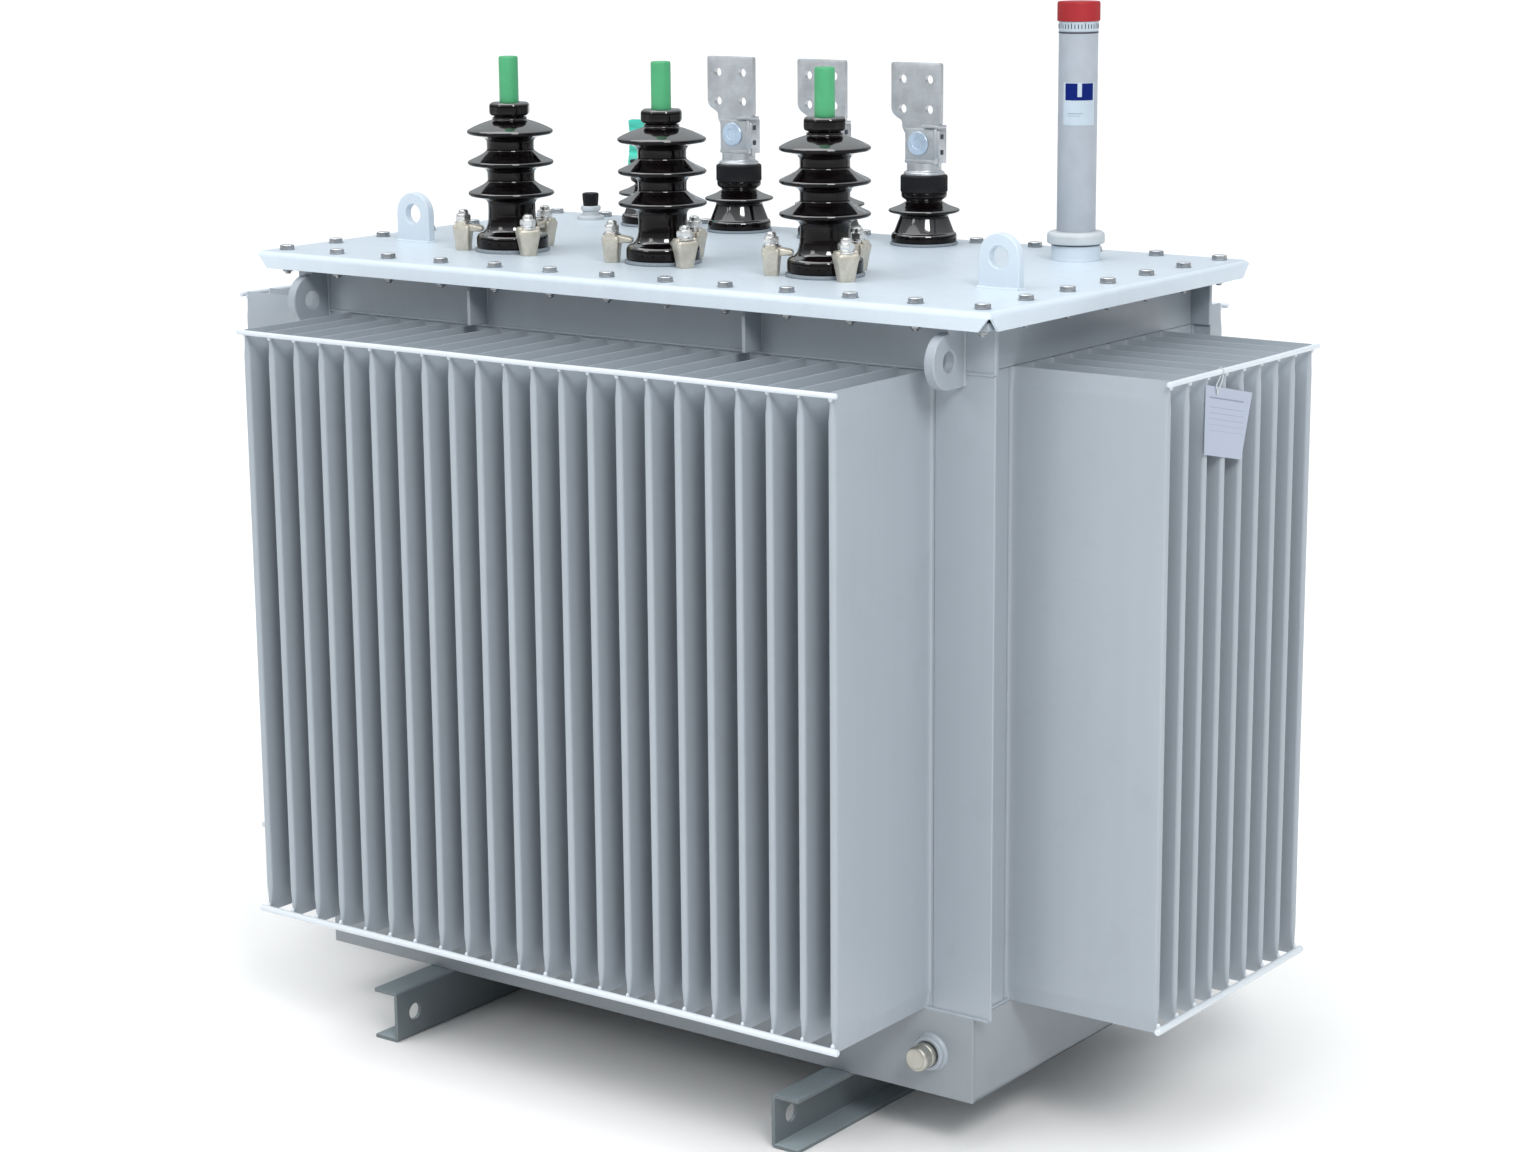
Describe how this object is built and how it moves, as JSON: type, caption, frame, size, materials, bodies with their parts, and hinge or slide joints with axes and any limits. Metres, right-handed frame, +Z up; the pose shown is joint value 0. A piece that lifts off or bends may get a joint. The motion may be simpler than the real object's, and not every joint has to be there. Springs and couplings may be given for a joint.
{
  "type": "power transformer",
  "caption": "Oil-filled power transformer: corrugated tank on channel skids, bolted cover, tall and short dark bushings, flat palms, level gauge column.",
  "frame": {"origin": "on the ground, under the middle of the tank", "axes": "+Z up, +X along the long side towards the level gauge's end, the high-voltage side faces -Y"},
  "size_m": [1.7, 1.054, 1.562],
  "materials": {
    "tank_paint": "satin pale blue-grey enamel",
    "cover_paint": "satin pale blue-grey enamel",
    "skid_paint": "satin blue-grey enamel",
    "rod_paint": "satin pale blue-grey enamel",
    "gasket_rubber": "black cork and rubber",
    "seal_rubber": "grey seal",
    "brown_glaze": "dark brown gloss glaze",
    "cast_metal": "as-cast warm grey",
    "tinned_metal": "tin-plated, satin",
    "green_plastic": "green transit cap",
    "film": "blue-green wrapping",
    "black_plastic": "black, finely ribbed",
    "white_plastic": "white",
    "grey_tube": "pale grey",
    "red_plastic": "red",
    "plug_metal": "plated, dull",
    "paper": "white card"
  },
  "bodies": {
    "root": {"base_end_walls": "tank_paint", "base_floor": "tank_paint", "base_long_walls": "tank_paint", "collar_ends": "tank_paint", "collar_long": "tank_paint", "corner_plates": "tank_paint", "cover": "cover_paint", "cover_gasket": "gasket_rubber", "cover_lugs": "cover_paint", "drain_plug": "plug_metal", "drain_socket": "tank_paint", "filler_cap": "black_plastic", "filler_neck": "white_plastic", "fin_wall_back": "tank_paint", "fin_wall_front": "tank_paint", "fin_wall_left": "tank_paint", "fin_wall_right": "tank_paint", "flange_gussets": "tank_paint", "gauge_cap": "red_plastic", "gauge_pipe": "cover_paint", "gauge_ring": "white_plastic", "gauge_tube": "grey_tube", "hv_bushing_1": "brown_glaze", "hv_bushing_2": "brown_glaze", "hv_bushing_3": "brown_glaze", "hv_clamps": "cast_metal", "hv_gaskets": "seal_rubber", "hv_terminal_caps": "green_plastic", "lv_bushing_1": "brown_glaze", "lv_bushing_2": "brown_glaze", "lv_bushing_3": "brown_glaze", "lv_bushing_4": "brown_glaze", "lv_gaskets": "seal_rubber", "lv_rings": "black_plastic", "lv_terminal_2": "tinned_metal", "lv_terminal_3": "tinned_metal", "lv_terminal_4": "tinned_metal", "neutral_terminal": "film", "paper_tag": "paper", "skid_left": "skid_paint", "skid_right": "skid_paint", "tank_lugs": "tank_paint", "tip_rods_end": "rod_paint", "tip_rods_long": "rod_paint"}
  },
  "joints": []
}
